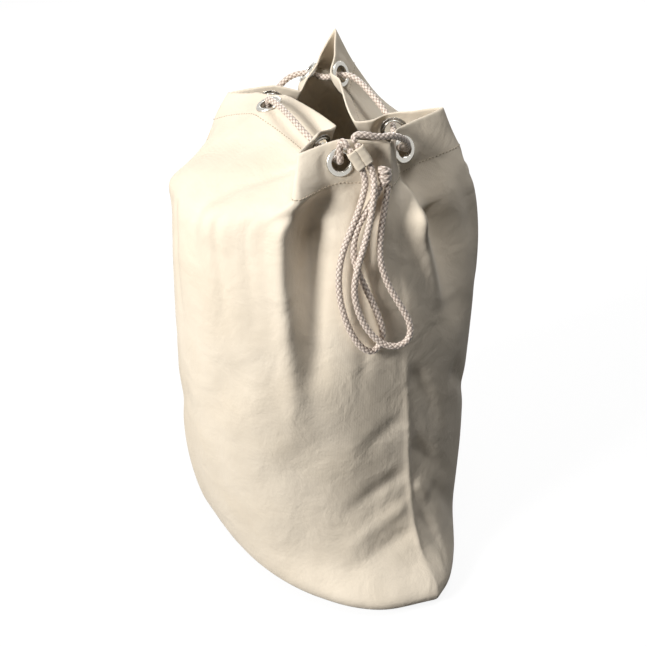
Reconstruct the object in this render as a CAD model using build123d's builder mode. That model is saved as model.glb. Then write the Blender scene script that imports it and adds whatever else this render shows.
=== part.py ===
from build123d import *
import math
import os

os.makedirs("parts", exist_ok=True)

# A filled drawstring laundry bag of cotton canvas, standing on its bottom seam.
# Millimetres, +Z up. X runs from the far side seam to the near side seam, the
# front panel faces -Y, and the ground is at z = 0.

# Driving dimensions
CANVAS = 1.5               # one ply of canvas
SEAM_ALLOWANCE = 11.0      # width of cloth left inside each seam
BOTTOM_SEAM_REACH = 190.0  # half length of the allowance along the bottom seam
GRIP = 3.0                 # cloth held between an eyelet and its washer
EYELET_OUTER = 14.8        # outer radius of an eyelet flange
EYELET_BORE = 9.5          # radius of the hole through an eyelet
BARREL_WALL = 0.7          # thickness of the eyelet's metal
FLANGE_RISE = 1.9          # height of the rolled flange
WASHER_THICKNESS = 0.9
PATCH = 17.0               # radius of the flat cloth under an eyelet
CORD = 7.0                 # diameter of the drawstring
THREAD = 0.9               # thickness of a sewn line
KEEPER_DROP = 2.5          # gap between the cord's turn and the keeper
KEEPER_LENGTH = 20.0       # along the cords
KEEPER_WIDTH = 19.0
KEEPER_THICKNESS = 10.4
CHANNEL = 8.2              # diameter of each channel through the keeper
CHANNEL_PITCH = 8.8        # distance between the two channels

# Body of the bag: height, near seam, far seam, depth to the front and to the
# back, and how pointed the front and the back are towards the seams.
BODY_LEVELS = [
    (0.0, 226.0, -222.0, 156.0, 104.0, 0.92, 1.60),
    (14.0, 234.0, -232.0, 168.0, 112.0, 0.88, 1.50),
    (50.0, 196.0, -196.0, 182.0, 124.0, 0.90, 1.15),
    (107.0, 170.0, -172.0, 192.0, 132.0, 0.85, 0.90),
    (200.0, 157.0, -160.0, 196.0, 138.0, 0.85, 0.85),
    (330.0, 138.0, -158.0, 192.0, 158.0, 0.85, 0.85),
    (400.0, 120.0, -160.0, 187.0, 162.0, 0.88, 0.88),
    (440.0, 112.0, -162.0, 178.0, 156.0, 0.92, 0.95),
]

# Gathered mouth: the rim, the middle of the hem and the hem line at each fold
# and eyelet, from the near seam to the far seam.
FRONT_MOUTH = [
    [(98, 0, 515), (101, 0, 491), (104, 0, 467)],
    [(77, -48, 520), (83, -49, 498), (88, -50, 475)],
    [(69, -89, 510), (77, -102, 489), (84, -114, 467)],
    [(27, -36, 511), (22, -42, 493), (36, -66, 474)],
    [(10, -14, 506), (15, -30, 491), (22, -52, 476)],
    [(-81, -27, 513), (-81, -49, 505), (-82, -71, 496)],
    [(-145, -70, 504), (-152, -88, 490), (-156, -106, 474)],
    [(-117, -26, 514), (-123, -26, 494), (-131, -30, 474)],
    [(-100, 0, 508), (-114, 0, 488), (-132, 0, 468)],
]
BACK_MOUTH = [
    [(98, 0, 515), (101, 0, 491), (104, 0, 467)],
    [(54, 38, 510), (60, 39, 487), (66, 42, 464)],
    [(48, 95, 520), (52, 104, 497), (58, 114, 474)],
    [(22, 60, 512), (13, 56, 490), (10, 66, 467)],
    [(2, 13, 503), (0, 24, 486), (-3, 40, 468)],
    [(-88, 37, 548), (-83, 41, 526), (-78, 52, 503)],
    [(-113, 51, 570), (-110, 62, 547), (-108, 73, 524)],
    [(-106, 25, 539), (-121, 22, 520), (-140, 24, 500)],
    [(-100, 0, 508), (-114, 0, 488), (-132, 0, 468)],
]

# Eyelets in the order in which the drawstring passes them: centre and the
# direction in which the outside of the cloth faces there.
EYELETS = [
    ((83, -49, 498), (0.94, -0.24, 0.24)),
    ((22, -42, 493), (-0.86, -0.25, 0.35)),
    ((-81, -49, 505), (-0.02, -0.35, 0.94)),
    ((-123, -26, 494), (-0.80, 0.50, 0.25)),
    ((-121, 22, 520), (-0.42, -0.63, 0.65)),
    ((-83, 41, 526), (0.84, 0.44, 0.31)),
    ((13, 56, 490), (-0.87, 0.49, 0.05)),
    ((60, 39, 487), (0.93, 0.20, 0.27)),
]
ACROSS_STEPS = 16          # facets of a panel from seam to seam
UP_STEPS = 14              # facets of a panel from the ground to the hem line
HEM_STEPS = 2              # facets of a panel across its hem

# Keeper: the middle of the end where the cords enter, the way the cords run
# through it, and the direction in which its broad face looks.
KEEPER_ENTRY = Vector(95.6, -41.5, 516.6)
KEEPER_RUN = Vector(0.345, 0.427, -0.835).normalized()
KEEPER_FACE = Vector(0.93, -0.27, 0.245).normalized()
KEEPER_ACROSS = KEEPER_FACE.cross(KEEPER_RUN).normalized()

# Drawstring through the eyelets, from one channel of the keeper to the other.
DRAWSTRING_ROUTE = [
    (94.4, -46.1, 516.0), (91.6, -49.6, 522.8), (87.0, -51.1, 520.6), (87.0, -52.2, 511.2),
    (88.2, -51.6, 502.0), (82.0, -48.6, 497.6), (68.0, -46.0, 495.0), (46.0, -43.0, 493.0),
    (22.0, -42.0, 493.0),
    (9.0, -48.0, 500.0), (-20.0, -52.0, 511.0), (-52.0, -53.5, 517.5), (-69.0, -56.5, 518.5),
    (-80.5, -50.0, 508.5), (-86.0, -43.5, 495.5), (-108.0, -34.0, 490.0),
    (-123.0, -26.0, 494.0), (-135.0, -14.0, 502.0),
    (-134.0, 4.0, 516.0), (-121.0, 21.0, 521.0), (-106.0, 33.0, 516.0), (-83.0, 41.0, 526.0),
    (-66.0, 52.0, 527.0), (-28.0, 60.0, 508.0), (0.0, 63.0, 492.0), (13.0, 55.5, 490.0),
    (35.0, 44.0, 486.0), (60.0, 39.0, 487.0), (76.0, 36.0, 495.0), (88.0, 24.0, 510.0),
    (97.0, 5.0, 521.0), (98.5, -15.0, 523.0), (96.5, -29.0, 528.0), (92.0, -41.0, 528.0),
    (95.4, -38.7, 520.6),
]

# The two tails, doubled up in loops, each from the keeper to the end knot.
TAIL_A_ROUTE = [
    (96.2, -43.9, 511.7), (106.2, -31.4, 487.3), (108.5, -37.0, 466.0), (111.5, -47.0, 445.0),
    (114.0, -60.0, 422.0), (118.0, -69.0, 398.0), (124.0, -72.0, 374.0), (131.0, -70.0, 351.0),
    (138.0, -64.0, 329.0), (145.0, -54.0, 312.0), (147.5, -41.0, 306.5), (146.5, -30.0, 322.0),
    (140.0, -33.0, 344.0), (132.0, -41.0, 368.0), (124.0, -50.0, 392.0), (118.0, -54.0, 416.0),
    (113.5, -45.0, 440.0), (111.0, -29.0, 458.0), (110.5, -17.5, 476.8),
]
TAIL_B_ROUTE = [
    (97.2, -36.5, 516.3), (107.2, -24.0, 491.9), (116.5, -28.5, 472.0), (122.0, -35.0, 449.0),
    (125.5, -43.0, 425.0), (130.0, -54.0, 402.0), (133.0, -60.0, 379.0), (139.0, -58.0, 356.0),
    (146.0, -50.0, 335.0), (154.0, -38.0, 320.0), (159.5, -23.0, 314.0), (161.0, -8.0, 319.0),
    (157.0, -4.0, 336.0), (148.0, -13.0, 357.0), (138.0, -23.0, 379.0), (130.0, -28.0, 403.0),
    (123.0, -24.0, 429.0), (116.5, -16.0, 455.0), (111.5, -9.5, 476.8),
]
KNOT_CENTRE = (110.5, -13.5, 488.0)
KNOT_RADIUS = 7.0
KNOT_HEIGHT = 20.0


def sample(points, steps):
    """Evenly spaced points on a smooth curve through the given ones."""
    curve = Spline(*points)
    return [curve @ (i / steps) for i in range(steps + 1)]


def body_row(level, front):
    """A level of the body at the nine fold and eyelet columns of a panel."""
    height, near, far, front_depth, back_depth, front_point, back_point = level
    middle = (near + far) / 2
    half = (near - far) / 2
    depth, point = (-front_depth, front_point) if front else (back_depth, back_point)
    row = []
    for i in range(9):
        turn = math.pi * i / 8
        row.append((middle + half * math.cos(turn), depth * abs(math.sin(turn)) ** point, height))
    return row


def panel_grid(front):
    """Rows of points over a panel, from its bottom seam up to its rim."""
    mouth = FRONT_MOUTH if front else BACK_MOUTH
    body = [body_row(level, front) for level in BODY_LEVELS]
    hem = [[column[k] for column in mouth] for k in (2, 1, 0)]
    rows = [sample(row, ACROSS_STEPS) for row in body + hem]
    columns = []
    for j in range(ACROSS_STEPS + 1):
        edge = rows[0][j]
        lower = sample([row[j] for row in rows[:-2]], UP_STEPS)
        upper = sample([row[j] for row in rows[-3:]], HEM_STEPS)
        columns.append([Vector(edge.X, 0, 0), Vector(edge.X, edge.Y / 2, 0)] + lower + upper[1:])
    return [list(row) for row in zip(*columns)]


def outward(grid, i, j, front):
    """Direction in which the outside of the cloth faces at a grid point."""
    up = grid[min(i + 1, len(grid) - 1)][j] - grid[max(i - 1, 0)][j]
    across = grid[i][min(j + 1, len(grid[i]) - 1)] - grid[i][max(j - 1, 0)]
    facing = up.cross(across) if front else across.cross(up)
    if facing.length < 1e-6:
        facing = Vector(0, 0, -1)
    return facing.normalized()


def layer(grid, depth, front):
    """The grid moved into the bag by a depth, kept on its own side of it."""
    moved = []
    for i, row in enumerate(grid):
        new_row = []
        for j, point in enumerate(row):
            place = point - outward(grid, i, j, front) * depth
            y = 0 if j in (0, len(row) - 1) or point.Y == 0 else place.Y
            z = depth if point.Z == 0 else place.Z
            corner = point.Z == 0 and j in (0, len(row) - 1)
            x = point.X - math.copysign(depth, point.X) if corner else place.X
            new_row.append(Vector(x, y, z))
        moved.append(new_row)
    return moved


def quilt(a, b, c, d):
    """Two flat triangles that fill four corners."""
    triangles = []
    for corners in ((a, b, c), (a, c, d)):
        if (corners[1] - corners[0]).cross(corners[2] - corners[0]).length > 1e-6:
            triangles.append(Face(Wire.make_polygon(corners)))
    return triangles


def between(outer, inner):
    """Closed solid between two grids of the same shape."""
    faces = []
    last = len(outer) - 1
    across = len(outer[0]) - 1
    for grid in (outer, inner):
        for low, high in zip(grid, grid[1:]):
            for j in range(across):
                faces += quilt(low[j], low[j + 1], high[j + 1], high[j])
    for i in (0, last):
        for j in range(across):
            faces += quilt(outer[i][j], outer[i][j + 1], inner[i][j + 1], inner[i][j])
    for j in (0, across):
        for i in range(last):
            faces += quilt(outer[i][j], outer[i + 1][j], inner[i + 1][j], inner[i][j])
    faces.sort(key=lambda face: face.center().Y)
    return Solid(Shell(faces))


def finish(piece, name):
    """Name a finished piece and write it out."""
    piece.label = name
    export_step(piece, f"parts/{name}.step")


def disc(spot, radius, start, height):
    """A round plug square to the cloth at an eyelet."""
    seat = Plane(origin=spot[0], z_dir=spot[1]).offset(start)
    with BuildPart() as plug:
        with BuildSketch(seat):
            Circle(radius)
        extrude(amount=height)
    return plug.part


def with_patches(cloth, spots):
    """Cloth with a flat doubled patch and a hole at each eyelet."""
    seat = EYELET_OUTER + 0.4
    hole = EYELET_BORE + BARREL_WALL + 0.2
    with BuildPart() as piece:
        add(cloth)
        add([disc(spot, seat, -7, 14) for spot in spots], mode=Mode.SUBTRACT)
        add([disc(spot, PATCH, -GRIP / 2, GRIP) for spot in spots])
        add([disc(spot, hole, -GRIP, 2 * GRIP) for spot in spots], mode=Mode.SUBTRACT)
    return piece.part


def strip(low, high, start, end, front):
    """A thread lying on the cloth between two rows of a grid."""
    rows = []
    for share in (start, end):
        row = []
        for j in range(len(low) - 1):
            row.append(low[j] + (high[j] - low[j]) * share)
            row.append(low[j] + (high[j + 1] - low[j]) * share)
        row.append(low[-1] + (high[-1] - low[-1]) * share)
        rows.append(row)
    return between(layer(rows, -1.6 - THREAD, front), layer(rows, -1.6, front))


def raised(rows, share):
    """Rows with the lowest one moved up by a share of the first step."""
    lowest = [a + (b - a) * share for a, b in zip(rows[0], rows[1])]
    return [lowest] + rows[1:]


def turn_radii(route):
    """Largest fair radius at each corner of a route of straight runs."""
    points = [Vector(*place) for place in route]
    radii = []
    for a, b, c in zip(points, points[1:], points[2:]):
        half_turn = math.radians((b - a).get_angle(c - b)) / 2
        radii.append(0.45 * min((b - a).length, (c - b).length) / math.tan(half_turn))
    return radii


def cord(route, name):
    """A round cord along straight runs joined by tangent arcs."""
    radii = turn_radii(route)
    start = Vector(*route[0])
    with BuildPart() as rope:
        with BuildLine() as path:
            FilletPolyline(*route, radius=radii)
        with BuildSketch(Plane(origin=start, z_dir=Vector(*route[1]) - start)):
            Circle(CORD / 2)
        sweep()
    length = path.wire().length
    fill = rope.part.volume / (math.pi * CORD ** 2 / 4 * length)
    print(name, "length", round(length), "fill", round(fill, 3), "radii", [round(r) for r in radii])
    finish(rope.part, name)


# Cloth: two panels, each with a doubled hem band sewn round the mouth
seams = []
for name, front, spots in (("front", True, EYELETS[:4]), ("back", False, EYELETS[4:])):
    grid = panel_grid(front)
    hem_line = len(grid) - HEM_STEPS
    finish(between(grid[:hem_line], layer(grid, CANVAS, front)[:hem_line]), name + "_panel")
    band = raised(grid[hem_line - 1:], 0.10)
    lining = raised(layer(grid, 2 * CANVAS, front)[hem_line - 1:], 0.10)
    finish(with_patches(between(band, lining), spots), name + "_hem_band")
    stitches = strip(grid[hem_line - 1], grid[hem_line], 0.12, 0.17, front)
    with BuildPart() as thread:
        add(stitches)
        add([disc(spot, PATCH + 0.5, -4, 8) for spot in spots], mode=Mode.SUBTRACT)
    finish(thread.part, name + "_hem_stitching")
    seams = [[grid[i][j] for i in range(3, hem_line)] for j in (0, ACROSS_STEPS)]

# Seam allowances: the raw edges of the panels, standing up inside the seams
for name, seam, inwards in (("near", seams[0], -1), ("far", seams[1], 1)):
    run = [point for point in seam if 60 < point.Z < 435]
    edge = [(point.X + inwards * (CANVAS + 0.4), point.Z) for point in run]
    raw = [(x + inwards * SEAM_ALLOWANCE, z) for x, z in edge]
    with BuildPart() as allowance:
        with BuildSketch(Plane.XZ):
            with BuildLine():
                Polyline(*edge, *reversed(raw), close=True)
            make_face()
        extrude(amount=CANVAS, both=True)
    finish(allowance.part, name + "_seam_allowance")
    line = [(x + inwards * 2.5, z) for x, z in edge]
    line_end = [(x + inwards * 3.3, z) for x, z in edge]
    with BuildPart() as stitching:
        for face in (-CANVAS - THREAD / 2, CANVAS + THREAD / 2):
            with BuildSketch(Plane.XZ.offset(face)):
                with BuildLine():
                    Polyline(*line, *reversed(line_end), close=True)
                make_face()
            extrude(amount=THREAD / 2, both=True)
    finish(stitching.part, name + "_seam_stitching")

with BuildPart() as bottom_allowance:
    with BuildSketch(Plane.XY.offset(CANVAS)):
        Rectangle(2 * BOTTOM_SEAM_REACH, 2 * CANVAS)
    extrude(amount=SEAM_ALLOWANCE)
finish(bottom_allowance.part, "bottom_seam_allowance")

with BuildPart() as bottom_stitching:
    for face in (-CANVAS - THREAD / 2, CANVAS + THREAD / 2):
        with BuildSketch(Plane.XZ.offset(face)):
            with Locations((0, CANVAS + 3)):
                Rectangle(2 * BOTTOM_SEAM_REACH - 4, THREAD)
        extrude(amount=THREAD / 2, both=True)
finish(bottom_stitching.part, "bottom_seam_stitching")

# Eyelets: a flanged ring whose barrel is rolled over a washer inside the bag
for number, (centre, facing) in enumerate(EYELETS, 1):
    seat = Plane(origin=centre, z_dir=facing)
    section = Plane(origin=centre, x_dir=seat.x_dir, z_dir=seat.y_dir)
    up = 1 if section.y_dir.dot(seat.z_dir) > 0 else -1
    cloth = GRIP / 2
    barrel = EYELET_BORE + BARREL_WALL
    tip = up * (cloth + WASHER_THICKNESS + 0.15)
    crown = up * (cloth + FLANGE_RISE)
    with BuildPart() as eyelet:
        with BuildSketch(section):
            with BuildLine():
                corner = (barrel, up * cloth)
                Polyline((EYELET_OUTER, up * cloth), corner, (barrel, -tip), (barrel + 1.6, -tip))
                Line((barrel + 1.6, -tip), (barrel + 1.6, -tip - up * 0.4))
                Spline(
                    (barrel + 1.6, -tip - up * 0.4),
                    (barrel + 0.4, -tip - up * 1.1),
                    (EYELET_BORE, -tip + up * 0.2),
                    tangents=((-0.4, -up), (0, up)),
                )
                Line((EYELET_BORE, -tip + up * 0.2), (EYELET_BORE, crown - up * 0.9))
                Spline(
                    (EYELET_BORE, crown - up * 0.9),
                    (EYELET_BORE + 1.3, crown),
                    (EYELET_OUTER, up * (cloth + 0.5)),
                    tangents=((0, up), (0.5, -up)),
                )
                Line((EYELET_OUTER, up * (cloth + 0.5)), (EYELET_OUTER, up * cloth))
            make_face()
        revolve(axis=Axis(centre, facing))
    finish(eyelet.part, f"eyelet_{number}")
    with BuildPart() as washer:
        with BuildSketch(seat.offset(-cloth - WASHER_THICKNESS)):
            Circle(EYELET_OUTER)
            Circle(barrel + 0.1, mode=Mode.SUBTRACT)
        extrude(amount=WASHER_THICKNESS - 0.05)
        rim = washer.edges().filter_by(GeomType.CIRCLE).sort_by(SortBy.LENGTH)[-2:]
        fillet(rim.sort_by_distance(centre)[-1], WASHER_THICKNESS / 2)
    finish(washer.part, f"eyelet_washer_{number}")

# Keeper: a flat canvas tube sewn down its middle into two channels
keeper_end = Plane(origin=KEEPER_ENTRY, x_dir=KEEPER_ACROSS, z_dir=KEEPER_RUN).offset(KEEPER_DROP)
with BuildPart() as keeper:
    with BuildSketch(keeper_end):
        RectangleRounded(KEEPER_WIDTH, KEEPER_THICKNESS, KEEPER_THICKNESS / 2 - 0.3)
        with Locations((-CHANNEL_PITCH / 2, 0), (CHANNEL_PITCH / 2, 0)):
            Circle(CHANNEL / 2, mode=Mode.SUBTRACT)
    extrude(amount=KEEPER_LENGTH)
finish(keeper.part, "cord_keeper")

with BuildPart() as keeper_stitching:
    with BuildSketch(keeper_end.offset(1.5)):
        with Locations((0, KEEPER_THICKNESS / 2 + THREAD / 2), (0, -KEEPER_THICKNESS / 2 - THREAD / 2)):
            Rectangle(THREAD, THREAD)
    extrude(amount=KEEPER_LENGTH - 3)
finish(keeper_stitching.part, "keeper_stitching")

# Drawstring: the stretch through the eyelets, the two hanging tails and their
# common end knot
cord(DRAWSTRING_ROUTE, "drawstring")
cord(TAIL_A_ROUTE, "cord_tail_a")
cord(TAIL_B_ROUTE, "cord_tail_b")

with BuildPart() as knot:
    with BuildSketch(Plane(origin=KNOT_CENTRE).offset(-KNOT_HEIGHT / 2)):
        Circle(KNOT_RADIUS)
    extrude(amount=KNOT_HEIGHT)
    fillet(knot.edges().filter_by(GeomType.CIRCLE), KNOT_RADIUS * 0.8)
finish(knot.part, "end_knot")
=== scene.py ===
import math

import bmesh
import bpy
import numpy as np
from mathutils import Matrix, Vector, noise


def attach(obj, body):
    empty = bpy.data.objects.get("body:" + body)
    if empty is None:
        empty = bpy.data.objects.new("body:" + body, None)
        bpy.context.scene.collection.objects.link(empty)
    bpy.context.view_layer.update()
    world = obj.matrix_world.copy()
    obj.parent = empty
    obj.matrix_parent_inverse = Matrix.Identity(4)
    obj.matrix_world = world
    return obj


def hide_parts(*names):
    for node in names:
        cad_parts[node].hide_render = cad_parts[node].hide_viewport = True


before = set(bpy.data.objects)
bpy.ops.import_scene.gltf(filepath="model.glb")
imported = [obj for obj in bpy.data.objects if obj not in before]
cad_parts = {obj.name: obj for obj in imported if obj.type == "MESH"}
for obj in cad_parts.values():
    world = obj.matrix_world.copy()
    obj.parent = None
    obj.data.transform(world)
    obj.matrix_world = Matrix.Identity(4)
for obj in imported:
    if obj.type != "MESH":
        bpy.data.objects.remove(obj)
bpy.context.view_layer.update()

MM = 0.001
UPRIGHT = (0.0, 1.0, 0.0)  # the way a strip in the middle of the bag faces

# ---------------------------------------------------------------- camera
AZIMUTH = math.radians(62.0)
ELEVATION = math.radians(31.0)
CAMERA_PLACE = Vector((0.9726, -0.5409, 0.9205))
LENS = 60.65               # millimetres, on a 36 mm sensor
forward = Vector((
    -math.sin(AZIMUTH) * math.cos(ELEVATION),
    math.cos(AZIMUTH) * math.cos(ELEVATION),
    -math.sin(ELEVATION),
))
right = Vector((math.cos(AZIMUTH), math.sin(AZIMUTH), 0.0))
up = right.cross(forward)
camera_data = bpy.data.cameras.new("camera")
camera = bpy.data.objects.new("camera", camera_data)
bpy.context.scene.collection.objects.link(camera)
camera_data.sensor_width = 36.0
camera_data.lens = LENS
camera_data.clip_start = 0.02
camera_data.clip_end = 50.0
camera.matrix_world = Matrix((
    (right.x, up.x, -forward.x, CAMERA_PLACE.x),
    (right.y, up.y, -forward.y, CAMERA_PLACE.y),
    (right.z, up.z, -forward.z, CAMERA_PLACE.z),
    (0, 0, 0, 1),
))
bpy.context.scene.camera = camera


# ---------------------------------------------------------------- materials
def material(name, colour, roughness, metallic=0.0, sheen=0.0):
    """A plain material, its node tree and its shader."""
    made = bpy.data.materials.new(name)
    made.use_nodes = True
    shader = made.node_tree.nodes["Principled BSDF"]
    shader.inputs["Base Color"].default_value = (*colour, 1.0)
    shader.inputs["Roughness"].default_value = roughness
    shader.inputs["Metallic"].default_value = metallic
    shader.inputs["Sheen Weight"].default_value = sheen
    shader.inputs["Sheen Roughness"].default_value = 0.5
    return made, made.node_tree, shader


def node(tree, kind, **values):
    """A node with its inputs or settings given by name."""
    made = tree.nodes.new(kind)
    for key, value in values.items():
        if key in made.inputs:
            made.inputs[key].default_value = value
        else:
            setattr(made, key, value)
    return made


def mottled(tree, shader, coords, scale, dark, light, detail=6.0):
    """Base colour that wanders between two tints."""
    grain = node(tree, "ShaderNodeTexNoise", Scale=scale, Detail=detail)
    ramp = node(tree, "ShaderNodeValToRGB")
    ramp.color_ramp.elements[0].position = 0.35
    ramp.color_ramp.elements[1].position = 0.65
    ramp.color_ramp.elements[0].color = (*dark, 1)
    ramp.color_ramp.elements[1].color = (*light, 1)
    tree.links.new(coords, grain.inputs["Vector"])
    tree.links.new(grain.outputs["Fac"], ramp.inputs["Fac"])
    tree.links.new(ramp.outputs["Color"], shader.inputs["Base Color"])
    return ramp


def canvas(name, dark, light):
    """Cotton canvas: a plain weave, slubs in the yarn and a soft crumple."""
    made, tree, shader = material(name, light, 0.88, sheen=0.12)
    coords = node(tree, "ShaderNodeTexCoord")
    mottled(tree, shader, coords.outputs["Object"], 14.0, dark, light)
    # plain weave, threads 0.8 mm apart, laid on the unrolled cloth
    heights = []
    for direction in ("X", "Y"):
        threads = node(tree, "ShaderNodeTexWave", Scale=200.0, Distortion=0.6)
        threads.bands_direction = direction
        threads.inputs["Detail Scale"].default_value = 3.0
        tree.links.new(coords.outputs["UV"], threads.inputs["Vector"])
        heights.append(threads.outputs["Fac"])
    weave = node(tree, "ShaderNodeMath", operation="MULTIPLY")
    tree.links.new(heights[0], weave.inputs[0])
    tree.links.new(heights[1], weave.inputs[1])
    slubs = node(tree, "ShaderNodeTexNoise", Scale=320.0, Detail=4.0)
    tree.links.new(coords.outputs["Object"], slubs.inputs["Vector"])
    crumple = node(tree, "ShaderNodeTexNoise", Scale=26.0, Detail=5.0, Distortion=0.4)
    tree.links.new(coords.outputs["Object"], crumple.inputs["Vector"])
    fine = node(tree, "ShaderNodeBump", Strength=0.22, Distance=0.0003)
    tree.links.new(weave.outputs[0], fine.inputs["Height"])
    rough = node(tree, "ShaderNodeBump", Strength=0.25, Distance=0.0004)
    tree.links.new(slubs.outputs["Fac"], rough.inputs["Height"])
    tree.links.new(fine.outputs["Normal"], rough.inputs["Normal"])
    soft = node(tree, "ShaderNodeBump", Strength=0.5, Distance=0.006)
    tree.links.new(crumple.outputs["Fac"], soft.inputs["Height"])
    tree.links.new(rough.outputs["Normal"], soft.inputs["Normal"])
    tree.links.new(soft.outputs["Normal"], shader.inputs["Normal"])
    return made


def nickel():
    """Plated metal, more worn in some places than in others."""
    made, tree, shader = material("nickel", (0.60, 0.58, 0.53), 0.24, metallic=1.0)
    coords = node(tree, "ShaderNodeTexCoord")
    wear = node(tree, "ShaderNodeTexNoise", Scale=420.0, Detail=5.0)
    tree.links.new(coords.outputs["Object"], wear.inputs["Vector"])
    spread = node(tree, "ShaderNodeMapRange")
    spread.inputs["To Min"].default_value = 0.16
    spread.inputs["To Max"].default_value = 0.38
    tree.links.new(wear.outputs["Fac"], spread.inputs["Value"])
    tree.links.new(spread.outputs["Result"], shader.inputs["Roughness"])
    return made


def braided_with_painted_gap_shade():
    """Cord yarn, with painted shade in the gaps between the strands: its colour darkens where the
    braid's surface lies low.
    """
    made, tree, shader = material("cord_yarn", (0.80, 0.66, 0.54), 0.38, sheen=0.3)
    coords = node(tree, "ShaderNodeTexCoord")
    relief = node(tree, "ShaderNodeAttribute")
    relief.attribute_name = "relief"
    # painted shade: the braid's height turns the yarn colour dark in the gaps between the strands
    ramp = node(tree, "ShaderNodeValToRGB")
    ramp.color_ramp.elements[0].position = 0.10
    ramp.color_ramp.elements[1].position = 0.75
    ramp.color_ramp.elements[0].color = (0.26, 0.19, 0.15, 1)
    ramp.color_ramp.elements[1].color = (0.78, 0.67, 0.58, 1)
    tree.links.new(relief.outputs["Fac"], ramp.inputs["Fac"])
    tree.links.new(ramp.outputs["Color"], shader.inputs["Base Color"])
    fibre = node(tree, "ShaderNodeTexNoise", Scale=1500.0, Detail=3.0)
    tree.links.new(coords.outputs["Object"], fibre.inputs["Vector"])
    bump = node(tree, "ShaderNodeBump", Strength=0.25, Distance=0.0002)
    tree.links.new(fibre.outputs["Fac"], bump.inputs["Height"])
    tree.links.new(bump.outputs["Normal"], shader.inputs["Normal"])
    return made


CANVAS = canvas("canvas", (0.74, 0.65, 0.52), (0.80, 0.71, 0.58))
THREAD = material("thread", (0.48, 0.40, 0.29), 0.7, sheen=0.3)[0]
CORD = braided_with_painted_gap_shade()
NICKEL = nickel()


# ---------------------------------------------------------------- helpers
def show(name, mesh, look, body="bag"):
    """A new piece with its material and slot, riding on a body."""
    made = bpy.data.objects.new(name, mesh)
    bpy.context.scene.collection.objects.link(made)
    mesh.materials.clear()
    mesh.materials.append(look)
    mesh.shade_smooth()
    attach(made, body)
    return made


def mesh_of(name, points, faces):
    made = bpy.data.meshes.new(name)
    made.from_pydata([tuple(p) for p in points], [], faces)
    made.update()
    return made


def spline_points(name, route):
    """Points along a smooth curve steered by a route, in metres."""
    data = bpy.data.curves.new(name, "CURVE")
    data.dimensions = "3D"
    line = data.splines.new("NURBS")
    line.points.add(len(route) - 1)
    for point, place in zip(line.points, route):
        point.co = (place[0] * MM, place[1] * MM, place[2] * MM, 1.0)
    line.order_u = 3
    line.use_endpoint_u = True
    line.resolution_u = 24
    made = bpy.data.objects.new(name, data)
    bpy.context.scene.collection.objects.link(made)
    bpy.context.view_layer.update()
    flat = bpy.data.meshes.new_from_object(made)
    points = np.array([v.co[:] for v in flat.vertices])
    bpy.data.meshes.remove(flat)
    bpy.data.objects.remove(made)
    return points


def even(points, step):
    """The same line with points a step apart."""
    runs = np.linalg.norm(np.diff(points, axis=0), axis=1)
    along = np.concatenate([[0], np.cumsum(runs)])
    count = max(2, int(round(along[-1] / step)))
    at = np.linspace(0, along[-1], count + 1)
    return np.stack([np.interp(at, along, points[:, k]) for k in range(3)], axis=1), at


def frames_along(points):
    """Side directions carried along a line without twisting."""
    tangents = np.gradient(points, axis=0)
    tangents /= np.linalg.norm(tangents, axis=1)[:, None]
    side = np.cross(tangents[0], (0.3, 0.2, 0.93))
    side /= np.linalg.norm(side)
    sides = [side]
    for t in tangents[1:]:
        side = side - t * side.dot(t)
        side = side / np.linalg.norm(side)
        sides.append(side)
    sides = np.array(sides)
    return sides, np.cross(tangents, sides), tangents


def braid(turn, along, strands=8, pitch=0.0058):
    """Height of a round braid's surface, 0 to 1, at an angle and a length."""
    a = strands * turn / (2 * math.pi) / 2 + along / pitch
    b = strands * turn / (2 * math.pi) / 2 - along / pitch
    over = (np.floor(a) + np.floor(b)) % 2 == 0
    fa = np.sin(np.pi * (a % 1))
    fb = np.sin(np.pi * (b % 1))
    return np.where(over, fa ** 0.9 * fb ** 0.35, fb ** 0.9 * fa ** 0.35)


ROPE_STEP = 0.00055        # distance between the rings of a rope's mesh


def rope(name, points, diameter, around=32):
    """A braided round cord with rounded ends along a line of points."""
    line, at = even(points, ROPE_STEP)
    sides, ups, tangents = frames_along(line)
    turns = np.arange(around) * 2 * math.pi / around
    spread = diameter / 2
    rings, relief = [], []
    for k, place in enumerate(line):
        height = braid(turns, at[k])
        radius = spread * (0.80 + 0.24 * height)
        relief.extend(height)
        end = min(at[k], at[-1] - at[k])
        if end < spread:
            radius = radius * math.sqrt(max(0.02, 1 - (1 - end / spread) ** 2))
        round_about = np.cos(turns)[:, None] * sides[k] + np.sin(turns)[:, None] * ups[k]
        rings.append(place + round_about * radius[:, None])
    verts = np.concatenate(rings)
    faces = []
    for k in range(len(line) - 1):
        for j in range(around):
            n = (j + 1) % around
            faces.append((k * around + j, k * around + n, (k + 1) * around + n, (k + 1) * around + j))
    faces.append(tuple(reversed(range(around))))
    faces.append(tuple(range((len(line) - 1) * around, len(line) * around)))
    made = mesh_of(name, verts, faces)
    # the braid's height, which the cord material also uses to paint shade into the gaps between
    # strands
    depth = made.attributes.new("relief", "FLOAT", "POINT")
    depth.data.foreach_set("value", relief)
    return made, line, at[-1]


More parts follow.
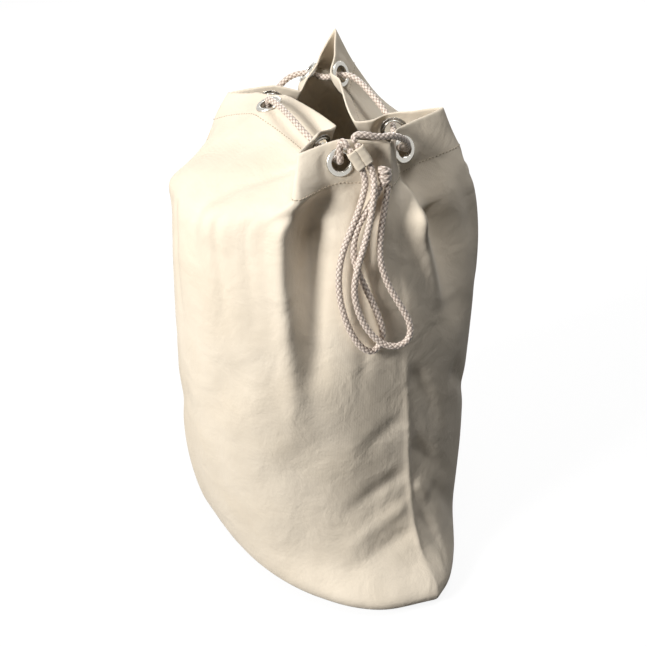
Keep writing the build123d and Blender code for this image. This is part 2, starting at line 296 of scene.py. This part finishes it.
# ---------------------------------------------------------------- cords
DRAWSTRING_ROUTE = [
    (94.4, -46.1, 516.0), (91.6, -49.6, 522.8), (87.0, -51.1, 520.6), (87.0, -52.2, 511.2),
    (88.2, -51.6, 502.0), (82.0, -48.6, 497.6), (68.0, -46.0, 495.0), (46.0, -43.0, 493.0),
    (22.0, -42.0, 493.0), (9.0, -48.0, 500.0), (-20.0, -52.0, 511.0), (-52.0, -53.5, 517.5),
    (-69.0, -56.5, 518.5), (-80.5, -50.0, 508.5), (-86.0, -43.5, 495.5), (-108.0, -34.0, 490.0),
    (-123.0, -26.0, 494.0), (-135.0, -14.0, 502.0), (-134.0, 4.0, 516.0), (-121.0, 21.0, 521.0),
    (-106.0, 33.0, 516.0), (-83.0, 41.0, 526.0), (-66.0, 52.0, 527.0), (-28.0, 60.0, 508.0),
    (0.0, 63.0, 492.0), (13.0, 55.5, 490.0), (35.0, 44.0, 486.0), (60.0, 39.0, 487.0),
    (76.0, 36.0, 495.0), (88.0, 24.0, 510.0), (97.0, 5.0, 521.0), (98.5, -15.0, 523.0),
    (96.5, -29.0, 528.0), (92.0, -41.0, 528.0), (95.4, -38.7, 520.6),
]
TAIL_A_ROUTE = [
    (94.6, -45.9, 515.6), (96.2, -43.9, 511.7), (106.2, -31.4, 487.3), (108.5, -37.0, 466.0),
    (111.5, -47.0, 445.0), (114.0, -60.0, 422.0), (118.0, -69.0, 398.0), (124.0, -72.0, 374.0),
    (131.0, -70.0, 351.0), (138.0, -64.0, 329.0), (145.0, -54.0, 312.0), (147.5, -41.0, 306.5),
    (146.5, -30.0, 322.0), (140.0, -33.0, 344.0), (132.0, -41.0, 368.0), (124.0, -50.0, 392.0),
    (118.0, -54.0, 416.0), (113.5, -45.0, 440.0), (111.0, -29.0, 458.0), (110.5, -17.5, 476.8),
]
TAIL_B_ROUTE = [
    (95.6, -38.5, 520.2), (97.2, -36.5, 516.3), (107.2, -24.0, 491.9), (116.5, -28.5, 472.0),
    (122.0, -35.0, 449.0), (125.5, -43.0, 425.0), (130.0, -54.0, 402.0), (133.0, -60.0, 379.0),
    (139.0, -58.0, 356.0), (146.0, -50.0, 335.0), (154.0, -38.0, 320.0), (159.5, -23.0, 314.0),
    (161.0, -8.0, 319.0), (157.0, -4.0, 336.0), (148.0, -13.0, 357.0), (138.0, -23.0, 379.0),
    (130.0, -28.0, 403.0), (123.0, -24.0, 429.0), (116.5, -16.0, 455.0), (111.5, -9.5, 476.8),
]
CORD_DIAMETER = 0.007

mesh, line, length = rope("drawstring_threaded", spline_points("d", DRAWSTRING_ROUTE), CORD_DIAMETER)
threaded = show("drawstring_threaded", mesh, CORD)
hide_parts("drawstring")

tails = []
for letter, route in (("a", TAIL_A_ROUTE), ("b", TAIL_B_ROUTE)):
    name = "tail_" + letter
    mesh, line, length = rope(name, spline_points("t", route), CORD_DIAMETER)
    tail = show(name, mesh, CORD)
    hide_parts("cord_tail_" + letter)
    tails.append((tail, line, length))

# End knot: both tails wound round each other, each carrying on from its end
KNOT = Vector((110.5, -13.5, 488.0)) * MM
KNOT_TURNS = 2.3
KNOT_CORD = 0.0062         # the cord is squeezed where it is knotted
knot_mesh = bpy.data.meshes.new("knot")
shell = bmesh.new()
share = np.linspace(0, 1, 200)
joined = np.clip(share / 0.12, 0, 1)[:, None]
joined = joined * joined * (3 - 2 * joined)
tuck = 1 - 0.6 * np.clip((share - 0.85) / 0.15, 0, 1)
for (tail, line, length), side, wide in zip(tails, (-math.pi / 2, math.pi / 2), (4.3, 3.8)):
    turns = side + KNOT_TURNS * 2 * math.pi * share
    spiral = np.array(KNOT) + MM * np.stack([
        wide * tuck * np.cos(turns),
        wide * tuck * np.sin(turns),
        -7.5 + 14.0 * share + 1.8 * np.sin(turns * 0.7),
    ], axis=1)
    spiral = np.array(line[-1]) * (1 - joined) + spiral * joined
    part, _, _ = rope("wind", spiral, KNOT_CORD, around=24)
    shell.from_mesh(part)
    bpy.data.meshes.remove(part)
shell.to_mesh(knot_mesh)
shell.free()
knot = show("tail_knot", knot_mesh, CORD)
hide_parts("end_knot")
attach(knot, "tail_bunch")

for (tail, line, length), on_it in zip(tails, (("tail_knot",), ())):
    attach(tail, "tail_bunch")

# ---------------------------------------------------------------- cloth
# Body of the bag: height, near seam, far seam, depth to the front and to the
# back, and how pointed the front and the back are towards the seams.
BODY_LEVELS = [
    (0.0, 226.0, -222.0, 156.0, 104.0, 0.92, 1.6),
    (14.0, 234.0, -232.0, 168.0, 112.0, 0.88, 1.5),
    (50.0, 196.0, -196.0, 182.0, 124.0, 0.9, 1.15),
    (107.0, 170.0, -172.0, 192.0, 132.0, 0.85, 0.9),
    (200.0, 157.0, -160.0, 196.0, 138.0, 0.85, 0.85),
    (330.0, 138.0, -158.0, 192.0, 158.0, 0.85, 0.85),
    (400.0, 120.0, -160.0, 187.0, 162.0, 0.88, 0.88),
    (440.0, 112.0, -162.0, 178.0, 156.0, 0.92, 0.95),
]
# Gathered mouth: the rim, the middle of the hem and the hem line at each fold
# and eyelet, from the near seam to the far seam.
FRONT_MOUTH = [
    [(98, 0, 515), (101, 0, 491), (104, 0, 467)],
    [(77, -48, 520), (83, -49, 498), (88, -50, 475)],
    [(69, -89, 510), (80, -97, 489), (90, -103, 467)],
    [(27, -36, 511), (22, -42, 493), (36, -66, 474)],
    [(10, -14, 506), (15, -30, 491), (22, -52, 476)],
    [(-81, -27, 513), (-81, -49, 505), (-82, -71, 496)],
    [(-145, -70, 504), (-147, -80, 489), (-146, -92, 473)],
    [(-117, -26, 514), (-123, -26, 494), (-131, -30, 474)],
    [(-100, 0, 508), (-114, 0, 488), (-132, 0, 468)],
]
BACK_MOUTH = [
    [(98, 0, 515), (101, 0, 491), (104, 0, 467)],
    [(54, 38, 510), (60, 39, 487), (66, 42, 464)],
    [(48, 95, 520), (52, 104, 497), (58, 114, 474)],
    [(22, 60, 512), (13, 56, 490), (10, 66, 467)],
    [(2, 13, 503), (0, 24, 486), (-3, 40, 468)],
    [(-88, 37, 548), (-83, 41, 526), (-78, 52, 503)],
    [(-113, 51, 570), (-110, 62, 547), (-108, 73, 524)],
    [(-106, 25, 539), (-121, 22, 520), (-140, 24, 500)],
    [(-100, 0, 508), (-114, 0, 488), (-132, 0, 468)],
]
# Middle of each eyelet, the way it faces, and whether it is on the front panel
EYELETS = [
    ((83, -49, 498), (0.94, -0.24, 0.24), True),
    ((22, -42, 493), (-0.86, -0.25, 0.35), True),
    ((-81, -49, 505), (-0.02, -0.35, 0.94), True),
    ((-123, -26, 494), (-0.80, 0.50, 0.25), True),
    ((-121, 22, 520), (-0.42, -0.63, 0.65), False),
    ((-83, 41, 526), (0.84, 0.44, 0.31), False),
    ((13, 56, 490), (-0.87, 0.49, 0.05), False),
    ((60, 39, 487), (0.93, 0.20, 0.27), False),
]
FOLDS = 8                  # stretches between the folds of a panel
PER_FOLD = 18              # mesh columns between two folds
BASE_ROWS = 8              # rows of the base, from the bottom seam to the edge
BODY_ROWS = 84
HEM_ROWS = 10
HEM_HEIGHT = 470           # about where the hem line is, in millimetres
FOLD_WIDTH = 0.065         # cloth between two folds, laid flat
FLAT_SIZE = (1.12, 0.76)   # the tube of cloth laid flat: round it, and tall
GROUND = 0.0008            # as low as the middle of the cloth can be


def smooth_through(points, counts, sharp=0.0):
    """A line through the points with a count of steps between each two."""
    p = np.array(points, float)
    p = np.vstack([2 * p[0] - p[1], p, 2 * p[-1] - p[-2]])
    gaps = np.maximum(np.linalg.norm(np.diff(p, axis=0), axis=1), 1e-6) ** 0.5
    knots = np.concatenate([[0], np.cumsum(gaps)])
    made = []
    for i, count in enumerate(counts):
        p0, p1, p2, p3 = p[i:i + 4]
        t0, t1, t2, t3 = knots[i:i + 4]
        for t in np.linspace(t1, t2, count, endpoint=False):
            a1 = (t1 - t) / (t1 - t0) * p0 + (t - t0) / (t1 - t0) * p1
            a2 = (t2 - t) / (t2 - t1) * p1 + (t - t1) / (t2 - t1) * p2
            a3 = (t3 - t) / (t3 - t2) * p2 + (t - t2) / (t3 - t2) * p3
            b1 = (t2 - t) / (t2 - t0) * a1 + (t - t0) / (t2 - t0) * a2
            b2 = (t3 - t) / (t3 - t1) * a2 + (t - t1) / (t3 - t1) * a3
            c = (t2 - t) / (t2 - t1) * b1 + (t - t1) / (t2 - t1) * b2
            straight = p1 + (p2 - p1) * (t - t1) / (t2 - t1)
            made.append(c * (1 - sharp) + straight * sharp)
    made.append(p[-2])
    return np.array(made)


def body_row(level, front):
    """Points across a panel at one level of the body."""
    height, near, far, front_depth, back_depth, front_point, back_point = level
    middle = (near + far) / 2
    half = (near - far) / 2
    depth, point = (-front_depth, front_point) if front else (back_depth, back_point)
    row = []
    for i in range(FOLDS + 1):
        turn = math.pi * i / FOLDS
        row.append((middle + half * math.cos(turn), depth * abs(math.sin(turn)) ** point, height))
    return row


# Ridges, hollows and creases of the filled cloth. Each is a stroke on a panel
# from one (fold number, height in metres) to another, with its half width and
# how far it stands out.
FRONT_STROKES = [
    (2.0, 0.475, 1.62, 0.435, 0.012, 0.011),
    (1.62, 0.44, 1.58, 0.24, 0.013, 0.014),
    (1.25, 0.46, 1.25, 0.29, 0.020, -0.030),
    (0.85, 0.45, 0.95, 0.30, 0.020, -0.008),
    (3.7, 0.46, 3.5, 0.38, 0.026, -0.010),
    (5.15, 0.440, 3.5, 0.478, 0.015, 0.008),
    (5.0, 0.47, 4.4, 0.49, 0.018, -0.010),
    (5.9, 0.46, 5.5, 0.435, 0.022, -0.012),
    (0.25, 0.46, 0.3, 0.30, 0.008, 0.006),
    (0.50, 0.46, 0.55, 0.28, 0.006, -0.006),
    (4.3, 0.43, 4.0, 0.30, 0.007, -0.0025),
    (4.7, 0.42, 4.9, 0.33, 0.006, -0.002),
    (2.9, 0.44, 2.6, 0.30, 0.007, -0.0025),
    (2.3, 0.44, 2.15, 0.34, 0.007, -0.002),
    (5.9, 0.33, 4.6, 0.25, 0.010, -0.003),
    (6.0, 0.26, 5.0, 0.21, 0.008, 0.003),
    (4.2, 0.20, 5.8, 0.13, 0.016, -0.003),
    (2.6, 0.27, 3.9, 0.17, 0.020, -0.003),
    (1.2, 0.20, 2.6, 0.12, 0.020, -0.003),
    (0.2, 0.07, 1.3, 0.04, 0.008, -0.004),
    (0.2, 0.10, 1.0, 0.07, 0.007, 0.004),
    (0.2, 0.14, 0.9, 0.11, 0.008, -0.004),
    (0.2, 0.21, 0.7, 0.18, 0.008, -0.003),
]
BACK_STROKES = [
    (2.1, 0.46, 2.2, 0.34, 0.013, 0.009),
    (1.05, 0.455, 1.1, 0.33, 0.026, -0.040),
    (0.42, 0.46, 0.34, 0.42, 0.008, 0.014),
    (0.34, 0.43, 0.70, 0.34, 0.009, 0.014),
    (3.6, 0.46, 3.6, 0.38, 0.026, -0.010),
    (6.0, 0.50, 4.7, 0.455, 0.026, 0.020),
    (2.6, 0.40, 3.0, 0.28, 0.012, -0.006),
    (0.2, 0.08, 0.8, 0.04, 0.008, -0.004),
    (0.2, 0.12, 0.9, 0.08, 0.009, 0.004),
    (0.2, 0.17, 0.9, 0.12, 0.009, -0.005),
    (0.2, 0.26, 0.6, 0.20, 0.009, -0.004),
    (0.6, 0.10, 1.8, 0.05, 0.012, -0.005),
    (1.2, 0.24, 2.6, 0.17, 0.012, -0.005),
]


def stroke_height(strokes, fold, height):
    """How far all the strokes together stand out at a place on a panel."""
    total = 0.0
    for fold_a, z_a, fold_b, z_b, half, out in strokes:
        ax, bx, x = fold_a * FOLD_WIDTH, fold_b * FOLD_WIDTH, fold * FOLD_WIDTH
        dx, dz = bx - ax, z_b - z_a
        share = min(1.0, max(0.0, ((x - ax) * dx + (height - z_a) * dz) / (dx * dx + dz * dz)))
        away = math.hypot(x - ax - share * dx, height - z_a - share * dz)
        total += out * (1 - 0.75 * share ** 1.5) * math.exp(-(away / half) ** 2)
    return total


def panel_points(front):
    """Points over a panel in metres, from the bottom seam up to the rim."""
    mouth = FRONT_MOUTH if front else BACK_MOUTH
    rows = [body_row(level, front) for level in BODY_LEVELS]
    rows += [[column[k] for column in mouth] for k in (2, 1, 0)]
    sharp = [0.0, 0.0, 0.0, 0.0, 0.0, 0.1, 0.2, 0.3, 0.4, 0.45, 0.5]
    wide = [smooth_through(row, [PER_FOLD] * FOLDS, s) for row, s in zip(rows, sharp)]
    heights = [level[0] for level in BODY_LEVELS] + [HEM_HEIGHT]
    counts = [max(2, round(BODY_ROWS * (b - a) / HEM_HEIGHT)) for a, b in zip(heights, heights[1:])]
    columns = []
    for j in range(len(wide[0])):
        body = smooth_through([row[j] for row in wide[:-2]], counts)
        hem = smooth_through([row[j] for row in wide[-3:]], [HEM_ROWS // 2] * 2)
        edge = body[0]
        base = [(edge[0], edge[1] * k / BASE_ROWS, 0) for k in range(BASE_ROWS)]
        columns.append(np.vstack([base, body, hem[1:]]))
    grid = np.array(columns).transpose(1, 0, 2) * MM
    grid[:, (0, -1), 1] = 0
    return grid, sum(counts)


def outward(grid, front):
    """The way that a panel faces at each of its points."""
    across = np.gradient(grid, axis=1)
    rise = np.gradient(grid, axis=0)
    facing = np.cross(rise, across) if front else np.cross(across, rise)
    size = np.linalg.norm(facing, axis=2)[..., None]
    return facing / np.maximum(size, 1e-12)


def shaped(front):
    """A panel with its ridges, hollows and wrinkles."""
    grid, body_steps = panel_points(front)
    facing = outward(grid, front)
    strokes = FRONT_STROKES if front else BACK_STROKES
    rows, cols = grid.shape[:2]
    hem_line = BASE_ROWS + body_steps
    for i in range(BASE_ROWS + 1, rows):
        for j in range(cols):
            place = grid[i, j]
            fold = j / PER_FOLD
            side = min(fold, FOLDS - fold)
            free = min(1.0, (i - BASE_ROWS) / 6)
            near_hem = min(1.0, max(0.25, (hem_line + 2 - i) / 8))
            at = Vector((place[0] * 9, place[1] * 9, place[2] * 4))
            wander = noise.noise(at) * 0.0035 + noise.noise(at * 2.7 + Vector((3, 1, 2))) * 0.0014
            gather = noise.noise(Vector((place[0] * 42, place[1] * 42, place[2] * 5)))
            wander += gather * 0.0022 * min(1.0, max(0.25, (place[2] - 0.25) / 0.2))
            out = (stroke_height(strokes, fold, place[2]) + wander) * free * near_hem
            if side < 0.5 / PER_FOLD:
                out -= 0.0015 * free
            grid[i, j] += facing[i, j] * out * (1 if side > 0 else 0)
    grid[..., 2] = np.maximum(grid[..., 2], GROUND)
    return grid, hem_line


front_grid, hem_line = shaped(True)
back_grid, _ = shaped(False)
rows, cols = front_grid.shape[:2]

# One tube of cloth: the front panel's columns, then the back panel's in return
ring = np.concatenate([front_grid, back_grid[:, cols - 2:0:-1]], axis=1)
around = ring.shape[1]
faces = []
for i in range(rows - 1):
    for j in range(around):
        n = (j + 1) % around
        faces.append((i * around + j, (i + 1) * around + j, (i + 1) * around + n, i * around + n))
cloth_mesh = mesh_of("cloth", ring.reshape(-1, 3), faces)
uv = cloth_mesh.uv_layers.new(name="UVMap")
rise = np.concatenate([[0], np.cumsum(np.linalg.norm(np.diff(ring[:, around // 8], axis=0), axis=1))])
corner = 0
for i in range(rows - 1):
    for j in range(around):
        for ii, jj in ((i, j), (i + 1, j), (i + 1, j + 1), (i, j + 1)):
            uv.data[corner].uv = (jj / around * FLAT_SIZE[0], rise[ii])
            corner += 1
cloth = show("bag_cloth", cloth_mesh, CANVAS)

# Cloth simulation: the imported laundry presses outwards, the mouth is held by
# its cord and the base by its load
SIM_FRAMES = 24
hold = cloth.vertex_groups.new(name="held")
index = np.arange(rows * around)
level = index // around
for i in range(rows):
    if i <= BASE_ROWS or i >= hem_line:
        weight = 1.0
    elif i >= hem_line - 6:
        weight = 1.0 - (hem_line - i) / 7
    else:
        weight = 0.02
    hold.add([int(k) for k in index[level == i]], weight, "REPLACE")
sim = cloth.modifiers.new("sim", "CLOTH")
sim.settings.quality = 6
sim.settings.mass = 0.3
sim.settings.tension_stiffness = 25
sim.settings.compression_stiffness = 25
sim.settings.shear_stiffness = 12
sim.settings.bending_stiffness = 3.0
sim.settings.air_damping = 3
sim.settings.vertex_group_mass = "held"
sim.settings.pin_stiffness = 1.0
sim.settings.shrink_min = -0.006
sim.settings.use_pressure = True
sim.settings.uniform_pressure_force = 0.5
sim.collision_settings.use_collision = False
sim.collision_settings.use_self_collision = False
sim.point_cache.frame_start = 1
sim.point_cache.frame_end = SIM_FRAMES
for frame_number in range(1, SIM_FRAMES + 1):
    bpy.context.scene.frame_set(frame_number)
graph = bpy.context.evaluated_depsgraph_get()
settled = np.array([v.co[:] for v in cloth.evaluated_get(graph).data.vertices])
cloth.modifiers.remove(sim)
bpy.context.scene.frame_set(1)
ring = settled.reshape(rows, around, 3)
ring[..., 2] = np.maximum(ring[..., 2], GROUND)

# Flat patches under the eyelets, with a hole in each
PATCH_REACH = 0.027        # how far from an eyelet its patch pulls the cloth
PATCH_FADE = 0.0105        # over how much of that the pull grows to its full
PATCH_DEPTH = 0.016        # cloth further in front or behind is left alone
HOLE_CUT = 0.0118          # cloth nearer than this is cut away
HOLE_EDGE = 0.0122         # radius of the finished hole
flat = ring.reshape(-1, 3).copy()
hole = np.zeros(len(flat), bool)
rim_rows = np.repeat(np.arange(rows) >= hem_line - 4, around)
for centre, facing, is_front in EYELETS:
    axis = np.array(Vector(facing).normalized())
    middle = np.array(centre) * MM
    gap = flat - middle
    level = gap @ axis
    across = gap - level[:, None] * axis
    reach = np.linalg.norm(across, axis=1)
    column = np.tile(np.arange(around), rows)
    own = (column <= cols - 1) if is_front else ((column >= cols - 1) | (column == 0))
    near = own & rim_rows & (reach < PATCH_REACH) & (np.abs(level) < PATCH_DEPTH)
    pull = np.clip((PATCH_REACH - reach) / PATCH_FADE, 0, 1)
    pull = pull * pull * (3 - 2 * pull)
    flat[near] -= (level[near] * pull[near])[:, None] * axis
    hole |= near & (reach < HOLE_CUT)
cloth_mesh.vertices.foreach_set("co", flat.ravel())
ring = flat.reshape(rows, around, 3)

shell = bmesh.new()
shell.from_mesh(cloth_mesh)
shell.verts.ensure_lookup_table()
gone = [f for f in shell.faces if sum(hole[v.index] for v in f.verts) >= 2]
bmesh.ops.delete(shell, geom=gone, context="FACES")
shell.verts.ensure_lookup_table()
for v in shell.verts:
    if not v.is_boundary:
        continue
    for centre, facing, _ in EYELETS:
        axis = Vector(facing).normalized()
        middle = Vector(centre) * MM
        gap = v.co - middle
        level = gap.dot(axis)
        across = gap - axis * level
        if across.length < 0.0165 and abs(level) < 0.004:
            v.co = middle + across.normalized() * HOLE_EDGE
shell.to_mesh(cloth_mesh)
shell.free()

# Single cloth below the hem line, turned over double above it. The row of each
# point is looked up by its place; the edges of the holes are all in the hem.
HEM_THICKNESS = 0.0027
SINGLE_SHARE = 0.45        # one ply, as a share of the hem's thickness
ply = cloth.vertex_groups.new(name="ply")
row_at = {tuple(np.round(p, 7)): k // around for k, p in enumerate(flat)}
single, double = [], []
for v in cloth_mesh.vertices:
    row = row_at.get(tuple(np.round(np.array(v.co[:]), 7)), rows)
    (double if row >= hem_line else single).append(v.index)
ply.add(double, 1.0, "REPLACE")
ply.add(single, SINGLE_SHARE, "REPLACE")
thick = cloth.modifiers.new("thick", "SOLIDIFY")
thick.thickness = HEM_THICKNESS
thick.offset = 0.0
thick.vertex_group = "ply"
thick.thickness_vertex_group = 0.0
smooth = cloth.modifiers.new("smooth", "SUBSURF")
smooth.levels = 1
smooth.render_levels = 1
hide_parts("front_panel", "back_panel", "front_hem_band", "back_hem_band")


# ---------------------------------------------------------------- stitches
def normals_of(grid):
    """The way that the tube of cloth faces at each of its points."""
    across = np.roll(grid, -1, axis=1) - np.roll(grid, 1, axis=1)
    rise = np.gradient(grid, axis=0)
    facing = np.cross(rise, across)
    return facing / np.maximum(np.linalg.norm(facing, axis=2)[..., None], 1e-12)


def stitches(shell, line, facing, lift, stitch=0.0032, gap=0.0009, thick=0.00055):
    """Small rounded stitches along a line on the cloth."""
    runs = np.linalg.norm(np.diff(line, axis=0), axis=1)
    along = np.concatenate([[0], np.cumsum(runs)])
    count = int(along[-1] / (stitch + gap))
    for k in range(count):
        start = k * (stitch + gap)
        spots = []
        for s in np.linspace(start, start + stitch, 4):
            place = np.array([np.interp(s, along, line[:, c]) for c in range(3)])
            out = np.array([np.interp(s, along, facing[:, c]) for c in range(3)])
            spots.append((place, out / max(np.linalg.norm(out), 1e-9)))
        way = spots[-1][0] - spots[0][0]
        way /= max(np.linalg.norm(way), 1e-9)
        rings = []
        for n, (place, out) in enumerate(spots):
            dip = 0.0 if n in (1, 2) else -0.5 * thick
            size = thick if n in (1, 2) else thick * 0.55
            side = np.cross(way, out)
            centre = place + out * (lift + dip)
            rings.append([
                shell.verts.new(centre + (side * math.cos(a) * 1.25 + out * math.sin(a)) * size)
                for a in np.linspace(0, 2 * math.pi, 6, endpoint=False)
            ])
        for a, b in zip(rings, rings[1:]):
            for j in range(6):
                shell.faces.new((a[j], a[(j + 1) % 6], b[(j + 1) % 6], b[j]))
        shell.faces.new(tuple(reversed(rings[0])))
        shell.faces.new(tuple(rings[-1]))


def stitched(name, rows_of_stitches, nodes):
    """Rows of stitches as one piece, each a line, the way it faces and its lift."""
    shell = bmesh.new()
    for line, facing, lift in rows_of_stitches:
        stitches(shell, line, facing, lift)
    made = bpy.data.meshes.new(name)
    shell.to_mesh(made)
    shell.free()
    piece = show(name, made, THREAD)
    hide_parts(*nodes)
    return piece


HEM_LIFT = 0.0013          # from the middle of the hem to its stitches
STRIP_LIFT = 0.0015        # from the middle of a seam allowance to its stitches
KEEPER_LIFT = 0.0036       # from the middle of the keeper to its stitches


def closed(values):
    """A line that runs all the way round."""
    return np.vstack([values, values[:1]])


hem_row = closed(ring[hem_line + 1] * 0.6 + ring[hem_line] * 0.4)
hem_facing = closed(normals_of(ring)[hem_line + 1])
stitched(
    "hem_stitches",
    [(hem_row, hem_facing, HEM_LIFT), (hem_row, hem_facing, -HEM_LIFT)],
    ["front_hem_stitching", "back_hem_stitching"],
)

# ---------------------------------------------------------------- seams
STRIP_THICKNESS = 0.0026
SIDE_SEAM_SPAN = (0.06, 0.44)
BOTTOM_SEAM_HALF = 0.19


def allowance(name, points, faces, line):
    """Two plies of cloth left inside a seam, with the seam's stitches."""
    strip = show(name + "_allowance", mesh_of(name, points, faces), CANVAS)
    plies = strip.modifiers.new("plies", "SOLIDIFY")
    plies.thickness = STRIP_THICKNESS
    plies.offset = 0.0
    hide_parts(name + "_seam_allowance")
    facing = np.tile(UPRIGHT, (len(line), 1))
    stitched(
        name + "_stitches",
        [(line, facing, STRIP_LIFT), (line, -facing, STRIP_LIFT)],
        [name + "_seam_stitching"],
    )


def side_allowance(name, column, inward):
    """A frayed strip up a side seam, waving slightly."""
    low, high = SIDE_SEAM_SPAN
    seam = np.array([p for p in ring[BASE_ROWS:hem_line, column] if low < p[2] < high])
    points = []
    for x, _, z in seam:
        fray = 0.0004 * noise.noise(Vector((0, 0, z * 300)))
        for reach in (0.001, 0.006, 0.0115):
            wave = 0.0005 * math.sin(z * 60) * reach / 0.011
            points.append((x + inward * (reach + fray), wave, z))
    faces = []
    for k in range(len(seam) - 1):
        for a in (3 * k, 3 * k + 1):
            faces.append((a, a + 1, a + 4, a + 3))
    allowance(name, points, faces, np.array([(x + inward * 0.003, 0, z) for x, _, z in seam]))


side_allowance("near", 0, -1.0)
side_allowance("far", cols - 1, 1.0)
reach = np.linspace(-BOTTOM_SEAM_HALF, BOTTOM_SEAM_HALF, 40)
allowance(
    "bottom",
    [(x, 0, z) for x in reach for z in (0.0018, 0.0125)],
    [(2 * k, 2 * k + 1, 2 * k + 3, 2 * k + 2) for k in range(39)],
    np.array([(x, 0, 0.0047) for x in np.linspace(-0.187, 0.187, 80)]),
)

# ---------------------------------------------------------------- keeper
ENTRY = Vector((95.6, -41.5, 516.6)) * MM
RUN = Vector((0.345, 0.427, -0.835)).normalized()
FACE = Vector((0.93, -0.27, 0.245)).normalized()
ACROSS = FACE.cross(RUN).normalized()
KEEPER_DROP = 0.0025       # from the cords' turn down to the keeper
KEEPER_LENGTH = 0.020
CHANNEL_OFFSET = 0.0044    # from the middle of the keeper to a channel
CHANNEL_RADIUS = 0.0040
SLEEVE_RADIUS = 0.0051
SLEEVE_STEPS = 12
AROUND = 28


def sleeve(shell, side):
    """One of the keeper's two channels: a squarish sleeve with a round hole."""
    outer, inner = [], []
    for k in range(SLEEVE_STEPS + 1):
        centre = ENTRY + RUN * (KEEPER_DROP + KEEPER_LENGTH * k / SLEEVE_STEPS)
        swell = 1.0 + 0.05 * math.sin(k * 0.9 + side)
        bulge = 1.0 + 0.03 * math.sin(k * 1.7)
        outside, hole = [], []
        for n in range(AROUND):
            c = math.cos(2 * math.pi * n / AROUND)
            d = math.sin(2 * math.pi * n / AROUND)
            square_c = math.copysign(abs(c) ** 0.6, c) * swell
            square_d = math.copysign(abs(d) ** 0.6, d) * bulge
            for loop, radius, x, y in (
                (outside, SLEEVE_RADIUS, square_c, square_d),
                (hole, CHANNEL_RADIUS, c, d),
            ):
                shift = ACROSS * (side * CHANNEL_OFFSET + radius * x) + FACE * (radius * y)
                loop.append(shell.verts.new(centre + shift))
        outer.append(outside)
        inner.append(hole)
    joined = list(zip(outer, outer[1:])) + list(zip(inner, inner[1:]))
    for a, b in joined + [(outer[0], inner[0]), (outer[-1], inner[-1])]:
        for n in range(AROUND):
            m = (n + 1) % AROUND
            shell.faces.new((a[n], a[m], b[m], b[n]))


shell = bmesh.new()
sleeve(shell, -1)
sleeve(shell, 1)
bmesh.ops.recalc_face_normals(shell, faces=shell.faces)
keeper_mesh = bpy.data.meshes.new("keeper")
shell.to_mesh(keeper_mesh)
shell.free()
keeper = show("canvas_keeper", keeper_mesh, CANVAS)
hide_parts("cord_keeper")
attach(keeper, "keeper")

# Stitches between the two channels, on both faces of the keeper
line = np.array([tuple(ENTRY + RUN * (0.004 + 0.017 * k / 12)) for k in range(13)])
face = np.tile(tuple(FACE), (len(line), 1))
keeper_thread = stitched(
    "keeper_stitches",
    [(line, face, KEEPER_LIFT), (line, -face, KEEPER_LIFT)],
    ["keeper_stitching"],
)
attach(keeper_thread, "keeper")

# ---------------------------------------------------------------- metal
for number in range(1, len(EYELETS) + 1):
    for name in (f"eyelet_{number}", f"eyelet_washer_{number}"):
        metal = bpy.data.objects[name]
        for place in metal.material_slots:
            place.material = NICKEL
        if not metal.material_slots:
            metal.data.materials.append(NICKEL)

# ---------------------------------------------------------------- studio
def glow(tree, socket, light, sight):
    """One strength for lighting the bag, another where it is seen or mirrored."""
    ray = node(tree, "ShaderNodeLightPath")
    eye = node(tree, "ShaderNodeMath", operation="ADD", use_clamp=True)
    tree.links.new(ray.outputs["Is Camera Ray"], eye.inputs[0])
    tree.links.new(ray.outputs["Is Glossy Ray"], eye.inputs[1])
    spread = node(tree, "ShaderNodeMapRange")
    spread.inputs["To Min"].default_value = light
    spread.inputs["To Max"].default_value = sight
    tree.links.new(eye.outputs[0], spread.inputs["Value"])
    tree.links.new(spread.outputs["Result"], socket)


FLOOR = 6.0                # half the side of the floor
FLOOR_LEVEL = -0.0004
corners = [(x * FLOOR, y * FLOOR, FLOOR_LEVEL) for x, y in ((-1, -1), (1, -1), (1, 1), (-1, 1))]
floor_mesh = mesh_of("floor", corners, [(0, 1, 2, 3)])
floor = bpy.data.objects.new("floor", floor_mesh)
bpy.context.scene.collection.objects.link(floor)
paper, paper_tree, paper_shader = material("paper", (0.10, 0.10, 0.10), 0.9)
paper_shader.inputs["Emission Color"].default_value = (1, 1, 1, 1)
glow(paper_tree, paper_shader.inputs["Emission Strength"], 0.0, 0.9)
floor_mesh.materials.append(paper)


def area_light(name, place, target, size, power, colour=(1, 1, 1)):
    """A square soft light aimed at a target."""
    data = bpy.data.lights.new(name, "AREA")
    data.size = size
    data.energy = power
    data.color = colour
    made = bpy.data.objects.new(name, data)
    made.location = place
    aim = Vector(target) - Vector(place)
    made.rotation_mode = "QUATERNION"
    made.rotation_quaternion = aim.to_track_quat("-Z", "Y")
    bpy.context.scene.collection.objects.link(made)
    return made


MIDDLE = (0, 0, 0.28)      # about the middle of the bag
key = area_light("key", (0.32, -2.28, 1.42), MIDDLE, 0.7, 76, (1.0, 0.985, 0.965))
top = area_light("top", (0.25, 0.1, 2.3), MIDDLE, 0.6, 18)
fill = area_light("fill", (-2.1, 1.3, 1.1), MIDDLE, 1.2, 26)
world = bpy.data.worlds.new("world")
bpy.context.scene.world = world
world.use_nodes = True
backdrop = world.node_tree.nodes["Background"]
backdrop.inputs["Color"].default_value = (1, 1, 1, 1)
glow(world.node_tree, backdrop.inputs["Strength"], 0.035, 0.95)
bpy.context.scene.view_settings.view_transform = "Standard"
